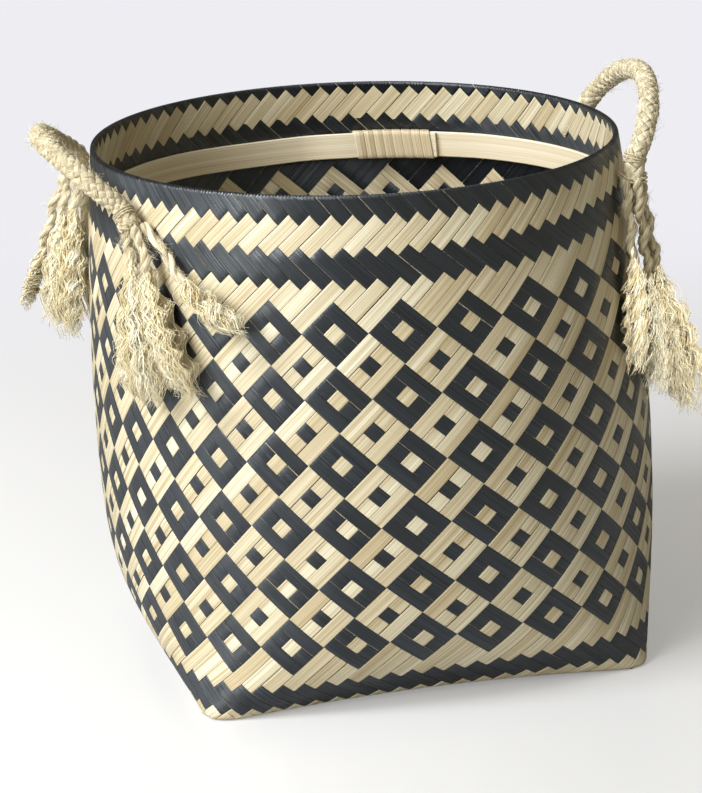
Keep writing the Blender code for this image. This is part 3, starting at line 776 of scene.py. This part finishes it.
def softened(points, reach):
    """The line with its bends eased: each point the weighted mean of its neighbours, with the ends held."""
    weight = np.hanning(2 * reach + 3)[1:-1]
    weight /= weight.sum()
    ends = [2 * points[:1] - points[reach:0:-1], points, 2 * points[-1:] - points[-2 : -reach - 2 : -1]]
    padded = np.concatenate(ends)
    return np.stack([np.convolve(padded[:, k], weight, mode="valid") for k in range(3)], -1)


def rope_line(side):
    """Middle line of one rope from tie to tie: up out of the front tie, over half an ellipse drawn in a
    little at its top, and down into the back tie. Also the direction across the loop, its middle and its
    up."""
    tilt, rise_length = HANDLES[side][3:]
    first, second = ROOTS[f"{side}_front"], ROOTS[f"{side}_back"]
    middle = (first.axis + second.axis) / 2
    half = np.linalg.norm(second.axis - first.axis) / 2
    along = (second.axis - first.axis) / (2 * half)
    outward = unit(np.array([along[1], -along[0], 0.0]))
    outward = outward if outward @ first.outward > 0 else -outward
    up = np.cross(along, outward)
    up = up if up[2] > 0 else -up
    rise = outward * math.sin(tilt) + up * math.cos(tilt)
    angle = np.linspace(0, math.pi, 160)[:, None]
    pinch = 1 - 0.10 * np.sin(angle) ** 2
    loop = middle - along * half * np.cos(angle) * pinch + rise * rise_length * np.sin(angle)
    depth = np.linspace(TIE, 1.0 * MM, 20)
    ends = []
    for place, root in ((f"{side}_front", first), (f"{side}_back", second)):
        slide, lean = WHIPPINGS[place][0] * root.forward, WHIPPINGS[place][2]
        ends.append(root.place(lean * depth / TIE, slide * depth / TIE, depth))
    line = evened(np.concatenate([ends[0], loop, ends[1][::-1]]), 0.7 * MM)
    return softened(line, 9), np.cross(along, rise), middle, up


def braid(name, line, across, ways, pitch, radius, wave, thick, wide, tone_seed, finish):
    """A round braid: as many strands each way round a line, on helices that pass over and under one another
    and are uneven by slow waves."""
    run = run_of(line)
    tangent = unit(np.gradient(line, axis=0))
    side = unit(np.cross(tangent, across))
    out = np.cross(side, tangent)
    rng = np.random.default_rng(tone_seed)
    strands = []
    radial = []
    bulk = 1 + 0.03 * np.sin(run / (9.0 * MM) + rng.uniform(0, 6)) + 0.02 * np.sin(run / (4.1 * MM))
    for way in (1, -1):
        travelled = 2 * math.pi * run / pitch
        angle = way * travelled[None, :] + 2 * math.pi * np.arange(ways)[:, None] / ways
        uneven = rng.uniform(0, 6, (ways, 1))
        angle = angle + 0.06 * np.sin(run / (7.0 * MM) + uneven)
        away = radius * bulk + way * wave * np.cos(ways * travelled)[None, :]
        away = away + 0.25 * MM * np.sin(run / (3.3 * MM) + uneven * 3)
        direction = np.cos(angle)[..., None] * out + np.sin(angle)[..., None] * side
        strands.append(line + away[..., None] * direction)
        radial.append(direction)
    centre, radial = np.concatenate(strands), np.concatenate(radial)
    tone = rng.uniform(0, 1, 2 * ways)
    return tubes(name, centre, wide, radial, 8, tone, finish, flat=thick / wide)


def build_fuzz(name, line, radius, count, seed, body):
    """Loose hairs that stand off a rope or yarn: short curved fibres from points spread over its
    surface."""
    rng = np.random.default_rng(seed)
    run = run_of(line)
    tangent = unit(np.gradient(line, axis=0))
    side = unit(np.cross(tangent, np.array([0.31, 0.52, 0.79])))
    out = np.cross(side, tangent)
    pick = rng.integers(2, len(run) - 2, count)
    angle = rng.uniform(0, 2 * math.pi, count)[:, None]
    away = np.cos(angle) * out[pick] + np.sin(angle) * side[pick]
    lay = tangent[pick] * rng.choice([-1.0, 1.0], count)[:, None]
    twist = np.cross(lay, away)
    t = np.linspace(0, 1, 7)[None, :, None]
    length = rng.uniform(3.0, 9.0, (count, 1, 1)) * MM
    stand = rng.uniform(0.15, 0.75, (count, 1, 1))
    curl = rng.uniform(-0.5, 0.5, (count, 1, 1))
    base = line[pick][:, None] + away[:, None] * radius
    bend = t * lay[:, None] + stand * t**1.4 * away[:, None] + curl * t**2 * twist[:, None]
    points = base + length * bend
    thin = 0.11 * MM * (1 - 0.6 * t[..., 0])
    obj = tubes(name, points, thin, np.array([0.1, 0.2, 0.97]), 4, rng.uniform(0.4, 1, count), FLUFF)
    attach(obj, body)


def build_ropes():
    """Both ropes with their loose hairs, whippings and stitches. Each is braided of six strands each way and
    bends at its foot into its tilted loop."""
    pitch, radius, wave = 42.0 * MM, 5.4 * MM, 0.95 * MM
    thick, wide = 1.25 * MM, 2.65 * MM
    for number, side in enumerate(("left", "right")):
        line, across, middle, up = rope_line(side)
        obj = braid(f"rope_{side}", line, across, 6, pitch, radius, wave, thick, wide, 70 + number, JUTE)
        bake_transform(obj)
        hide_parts(f"rope_handle_{side}", f"rope_end_{side}_front", f"rope_end_{side}_back")
        free = (line - middle) @ up > 14.0 * MM
        build_fuzz(f"fuzz_{side}", line[free], 7.4 * MM, 420, 80 + number, f"handle_{side}")
        for place, end in (("front", line), ("back", line[::-1])):
            build_whipping(f"{side}_{place}", end)
            build_stitches(f"{side}_{place}")


def twisted(name, line, reference, radius, pitch, plies, tone_seed, finish):
    """A laid twine: plies of round section on helices about a line."""
    run = run_of(line)
    tangent = unit(np.gradient(line, axis=0))
    side = unit(np.cross(tangent, reference))
    out = np.cross(side, tangent)
    angle = 2 * math.pi * (run[None, :] / pitch + np.arange(plies)[:, None] / plies)
    direction = np.cos(angle)[..., None] * out + np.sin(angle)[..., None] * side
    centre = line + 0.46 * radius * direction
    tone = np.random.default_rng(tone_seed).uniform(0, 1, plies)
    return tubes(name, centre, 0.56 * radius, np.broadcast_to(reference, centre.shape), 6, tone, finish)


def build_whipping(place, end):
    """Twine wound round the tied end of the rope on a helix, three turns side by side."""
    run = run_of(end)
    tangent = unit(np.gradient(end, axis=0))
    turns, steps = 3, 40
    t = np.arange(turns * steps + 1) / steps
    fallen = ROOTS[place].axis[2] - end[:50, 2]
    middle = float(np.interp(-WHIPPINGS[place][1], -fallen, run[:50]))
    depth = middle + 1.9 * MM * (t - turns / 2)
    centre = np.stack([np.interp(depth, run, end[:, k]) for k in range(3)], -1)
    lead = np.stack([np.interp(depth, run, tangent[:, k]) for k in range(3)], -1)
    out = unit(np.cross(lead, ROOTS[place].along))
    side = np.cross(lead, out)
    angle = 2 * math.pi * t
    direction = np.cos(angle)[:, None] * out + np.sin(angle)[:, None] * side
    line = centre + 7.6 * MM * direction
    obj = twisted(f"whip_{place}", line, direction, 0.95 * MM, 3.4 * MM, 2, 31, TWINE)
    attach(obj, BASKET)
    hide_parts(f"whipping_{place}")


def build_stitches(place):
    """Cord that ties the rope end to the wall: twice round the rope, through the wall, and across inside on
    a slant. A half circle outside joins a squarish half loop inside."""
    root = ROOTS[place]
    steps, turns = 48, 2
    t = np.arange(turns * steps + 1) / steps
    angle = 2 * math.pi * t
    c, s = np.cos(angle), np.sin(angle)
    reach = 8.2 * MM
    slide, lean = WHIPPINGS[place][0] * root.forward, WHIPPINGS[place][2]
    inside = STAND_OFF + WALL + LINING + 4 * GAP + CORD / 2
    box = (np.abs(c) ** 6 + np.abs(s) ** 6) ** (-1 / 6)
    outward = np.where(c > 0, c * reach, c * box * inside)
    along = np.where(c > 0, s, s * box) * reach
    slant = smooth(-outward / STAND_OFF * 1.2 - 0.4)
    down = END_TOP + CORD / 2 + 2.6 * MM * t
    down = down + slant * along * 0.7
    along = along * (1 - 0.45 * slant)
    outer = np.clip(c + 0.3, 0.0, 1.0) * np.minimum(down / TIE, 1.0)
    outward, along = outward + lean * outer, along + slide * outer
    line = softened(root.place(outward, along, down), 2)
    obj = twisted(f"tie_{place}", line, np.array([0.0, 0.0, 1.0]), 1.0 * MM, 4.0 * MM, 2, 37, TWINE)
    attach(obj, BASKET)
    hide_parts(f"lashing_{place}")


build_ropes()

# The tassels
DROP = 120.0 * MM
WIDTH = 18.0 * MM
SPREAD = 4.4 * MM
CLEAR = 0.7 * MM
SETTLE = 0.8 * MM
PLY_OFFSET = 1.55 * MM
# Where the four strands of a tassel start, out from the wall and along it, as shares of their spread
TOP_SHARES = ((-1.0, -1.0), (1.0, -1.0), (1.0, 1.0), (-1.0, 1.0))
# Each strand's fan along the wall, fall and lean as shares of the tassel's drop, its width as a share of
# the tassel's, and the share of its length that stays a laid yarn before it parts into fibres
STRAND_SHARES = {
    "left_front": (
        (0.030, 0.78, 0.020, 0.85, 0.80),
        (0.270, 0.80, 0.080, 1.45, 0.25),
        (0.540, 0.74, 0.060, 1.45, 0.35),
        (0.790, 0.38, 0.070, 1.25, 0.80),
    ),
    "left_back": (
        (-0.17, 0.81, 0.000, 1.20, 0.30),
        (-0.04, 0.70, 0.420, 0.55, 0.90),
        (0.110, 0.74, 0.150, 1.40, 0.28),
        (0.230, 0.78, 0.060, 1.45, 0.28),
    ),
    "right_front": (
        (-0.30, 0.88, 0.020, 0.95, 0.52),
        (-0.06, 1.08, 0.040, 1.45, 0.66),
        (0.110, 1.22, 0.180, 1.70, 0.54),
        (0.250, 1.16, 0.100, 1.55, 0.72),
    ),
    "right_back": (
        (-0.18, 0.80, 0.020, 0.90, 0.50),
        (-0.02, 0.90, 0.020, 1.10, 0.50),
        (0.110, 0.87, 0.170, 1.20, 0.45),
        (0.250, 0.77, 0.050, 1.00, 0.50),
    ),
}


def strand_place(place, top, shape, s):
    """Places along one unravelled strand, as distances along the wall, out from it and above the floor: it
    fans out with its length to the power 0.9, and leaves the tie by a parabola."""
    root = ROOTS[place]
    fan, fall, lean = (DROP * share for share in shape[:3])
    reach = WIDTH / 2 * min(shape[3], 1.1)
    start = root.axis[2] - TIE + 1.5 * MM
    fall = fall + END_TOP + END_LENGTH - TIE
    slide = WHIPPINGS[place][0] * root.forward
    along = (slide + top[1] * SPREAD) * (1 - s) ** 2 + fan * s**0.9
    outward = (STAND_OFF + WHIPPINGS[place][2] + top[0] * SPREAD) * (1 - s) ** 2
    outward = outward + reach * (1 - (1 - s) ** 2) + lean * s ** (0.7 if place == "left_back" else 1.5)
    return along, outward, start - fall * s, start


def beside(root, along, outward, height, start):
    """Points from places beside the wall. Where they would come too near it, the distance settles by an
    exponential towards the least clearance."""
    settled = CLEAR + SETTLE * np.exp(np.minimum(outward - CLEAR - SETTLE, 0.0) / SETTLE)
    outward = np.where(outward > CLEAR + SETTLE, outward, settled)
    turn = root.turn + along / float(girth(start / HEIGHT))
    return wall(turn, share_at(turn, height), outward)


def build_yarn(place, number, rng):
    """The laid part of a strand: two plies twisted together that corkscrew down from the tie and thin out
    where they part. Returns its middle line."""
    root, top, shape = ROOTS[place], TOP_SHARES[number], STRAND_SHARES[place][number]
    fall, yarn = DROP * shape[1], shape[4]
    s = np.linspace(0, yarn, int(90 * yarn) + 24)
    along, outward, height, start = strand_place(place, top, shape, s)
    run = fall * s
    screw = 2 * math.pi * run / (21.0 * MM) + rng.uniform(0, 6)
    amount = 1.5 * MM * smooth(s * 7)
    turn = 2 * math.pi * run / (14.0 * MM) + rng.uniform(0, 6)
    plies = []
    for ply in range(2):
        angle = turn + math.pi * ply
        a = along + amount * np.cos(screw) + PLY_OFFSET * np.cos(angle)
        o = outward + amount * np.sin(screw) + PLY_OFFSET * np.sin(angle)
        plies.append(beside(root, a, o, height, start))
    plies = np.array(plies)
    body = 2.15 * MM * (1 - 0.6 * smooth((s - yarn * 0.75) / (yarn * 0.3)))
    body = body * (1 + 0.08 * np.sin(run / (2.3 * MM)) + 0.07 * np.sin(run / (1.3 * MM) + 2.0))
    obj = tubes(f"yarn_{place}_{number + 1}", plies, body, root.outward, 10, rng.uniform(0.3, 1, 2), JUTE)
    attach(obj, BASKET)
    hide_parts(f"tassel_{place}_{number + 1}")
    return plies.mean(axis=0)


def build_fluff(place, number, rng):
    """The parted end of a strand: fine fibres in eight locks, each of which keeps its own side of the
    strand and its own wave. A fibre lies beside the strand's line by its lock's reach and its own, and
    waves round it."""
    root, top, shape = ROOTS[place], TOP_SHARES[number], STRAND_SHARES[place][number]
    fall, yarn = DROP * shape[1], shape[4]
    count, locks = int(320 * shape[3]), 8
    begin = rng.uniform((0.6 if yarn > 0.5 else 0.15) * yarn, yarn, count)[:, None]
    finish = np.clip(rng.normal(0.98, 0.08, count), 0.6, 1.1)[:, None]
    t = np.linspace(0, 1, 15)[None, :]
    s = begin + (finish - begin) * t
    along, outward, height, start = strand_place(place, top, shape, s)
    lock = rng.integers(0, locks, count)
    lock_angle = rng.uniform(0, 2 * math.pi, locks)[lock][:, None]
    lock_reach = rng.uniform(0.2, 1.0, locks)[lock][:, None] ** 0.6
    own_angle = rng.uniform(0, 2 * math.pi, count)[:, None]
    own_reach = rng.uniform(0, 1, count)[:, None] ** 0.5
    flare_shares = np.interp(s, (0.0, 0.2, 0.6, 0.92, 1.1), (0.3, 0.55, 1.0, 1.05, 0.85))
    flare = WIDTH * shape[3] / 2 * flare_shares
    ease = smooth(t * 1.8)
    reach_a = flare * (0.72 * lock_reach * np.cos(lock_angle) + 0.34 * own_reach * np.cos(own_angle))
    reach_o = flare * (0.72 * lock_reach * np.sin(lock_angle) + 0.34 * own_reach * np.sin(own_angle))
    phase = rng.uniform(0, 2 * math.pi, locks)[lock][:, None] + 0.9 * rng.uniform(-1, 1, count)[:, None]
    wild = rng.uniform(0, 1, count)[:, None] ** 2.5
    curl = (1.6 * MM + 1.6 * MM * rng.uniform(0, 1, count)[:, None] + 4.0 * MM * wild) * smooth(t * 2.5)
    wave = 14.0 * MM * (1 + 0.35 * rng.uniform(-1, 1, locks)[lock][:, None])
    wind = 2 * math.pi * s * fall / wave + phase
    a = along + reach_a * ease + curl * np.cos(wind)
    o = outward + reach_o * ease + curl * 0.8 * np.sin(wind)
    points = beside(root, a, o, height + 0.8 * curl * np.sin(wind + 1.0), start)
    thin = (0.20 + 0.45 * rng.uniform(0, 1, count)[:, None] * (1 - wild)) * MM * (1 - 0.7 * t**3)
    tone = np.clip(rng.uniform(0, 1, locks)[lock] + 0.35 * rng.uniform(-1, 1, count), 0, 1)
    obj = tubes(f"fluff_{place}_{number + 1}", points, thin, root.outward, 4, tone, FLUFF)
    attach(obj, BASKET)


def build_tassels():
    """The four strands of each of the four tassels: yarn, the loose hairs on it, and fluff."""
    for tuft, place in enumerate(STRAND_SHARES):
        for number in range(4):
            seed = 100 + 10 * tuft + number
            rng = np.random.default_rng(seed)
            line = build_yarn(place, number, rng)
            build_fuzz(f"hair_{place}_{number + 1}", line, 2.9 * MM, 170, seed + 500, BASKET)
            build_fluff(place, number, rng)


build_tassels()


# The light and the floor
def area_light(name, place, target, size, power, color=(1.0, 1.0, 1.0)):
    """A square lamp at a place, turned to face its target."""
    light = bpy.data.objects.new(name, bpy.data.lights.new(name, "AREA"))
    light.data.size = size
    light.data.energy = power
    light.data.color = color
    bpy.context.scene.collection.objects.link(light)
    light.location = place
    light.rotation_euler = Vector([p - t for p, t in zip(place, target)]).to_track_quat("Z", "Y").to_euler()
    return light


def build_floor():
    """A wide pale floor, slightly glossy, that fades out round the basket by a smooth step, so that it goes
    over into the backdrop. To the camera alone it glows a little, more on the left than on the right: painted
    light, that brightens its left side as the nearer lamps do and lightens the shadows on it."""
    mesh = bpy.data.meshes.new("floor")
    reach = 6.0
    corners = [(-reach, -reach, 0), (reach, -reach, 0), (reach, reach, 0), (-reach, reach, 0)]
    mesh.from_pydata(corners, [], [(0, 1, 2, 3)])
    floor = bpy.data.objects.new("floor", mesh)
    bpy.context.scene.collection.objects.link(floor)
    made = bpy.data.materials.new("floor")
    made.use_nodes = True
    tree = made.node_tree
    link = tree.links.new
    shader = tree.nodes["Principled BSDF"]
    shader.inputs["Roughness"].default_value = 0.35
    shader.inputs["Emission Color"].default_value = (1.0, 1.0, 1.0, 1.0)
    where, path = (tree.nodes.new(f"ShaderNode{kind}") for kind in ("TexCoord", "LightPath"))

    def ranged(socket, first, last, low, high):
        """A value that goes from low to high as the socket's goes from first to last."""
        spread = tree.nodes.new("ShaderNodeMapRange")
        spread.inputs["From Min"].default_value, spread.inputs["From Max"].default_value = first, last
        spread.inputs["To Min"].default_value, spread.inputs["To Max"].default_value = low, high
        link(socket, spread.inputs["Value"])
        return spread

    length = tree.nodes.new("ShaderNodeVectorMath")
    length.operation = "DISTANCE"
    length.inputs[1].default_value = (-0.25, -0.45, 0.0)
    link(where.outputs["Object"], length.inputs[0])
    fade = ranged(length.outputs["Value"], 0.75, 1.9, 1.0, 0.0)
    fade.interpolation_type = "SMOOTHSTEP"
    link(fade.outputs["Result"], shader.inputs["Alpha"])
    shade = ranged(path.outputs["Is Camera Ray"], 0.0, 1.0, 0.45, 0.50)
    link(shade.outputs["Result"], shader.inputs["Base Color"])
    split, painted_light_glow = (tree.nodes.new(f"ShaderNode{kind}") for kind in ("SeparateXYZ", "Math"))
    link(where.outputs["Object"], split.inputs[0])
    # Painted light: a glow seen only by the camera, stronger on the left, that brightens the floor there and
    # lightens its shadows
    left = ranged(split.outputs["X"], -0.45, 0.1, 0.44, 0.26)
    painted_light_glow.operation = "MULTIPLY"
    link(path.outputs["Is Camera Ray"], painted_light_glow.inputs[0])
    link(left.outputs["Result"], painted_light_glow.inputs[1])
    link(painted_light_glow.outputs["Value"], shader.inputs["Emission Strength"])
    mesh.materials.append(made)


def build_world():
    """Soft light from all round, and for the camera a plain pale backdrop."""
    world = bpy.data.worlds.new("studio")
    world.use_nodes = True
    tree = world.node_tree
    around, seen = tree.nodes["Background"], tree.nodes.new("ShaderNodeBackground")
    path, mix = tree.nodes.new("ShaderNodeLightPath"), tree.nodes.new("ShaderNodeMixShader")
    around.inputs["Color"].default_value = (1.0, 0.93, 0.74, 1.0)
    around.inputs["Strength"].default_value = 0.32
    seen.inputs["Color"].default_value = (0.855, 0.85, 0.89, 1.0)
    seen.inputs["Strength"].default_value = 1.0
    tree.links.new(path.outputs["Is Camera Ray"], mix.inputs[0])
    tree.links.new(around.outputs[0], mix.inputs[1])
    tree.links.new(seen.outputs[0], mix.inputs[2])
    tree.links.new(mix.outputs[0], tree.nodes["World Output"].inputs["Surface"])
    bpy.context.scene.world = world


def build_lights():
    """A large key lamp high on the left, a lower one beside it, and a fill for the right tassel's fibres
    alone."""
    area_light("key", (-2.6, -0.95, 2.9), (0, 0, 0.15), 1.8, 175.0, (0.97, 0.995, 1.04))
    area_light("side", (-2.1, -2.0, 1.25), (0, 0, 0.2), 1.3, 50.0)
    fill = area_light("fill", (0.9, -2.4, 1.0), (0.2, 0, 0.3), 1.2, 75.0)
    lit = bpy.data.collections.new("fluff")
    fill.light_linking.receiver_collection = lit
    for number in range(4):
        lit.objects.link(bpy.data.objects[f"fluff_right_front_{number + 1}"])


build_floor()
build_world()
build_lights()
bpy.context.scene.view_settings.view_transform = "Standard"
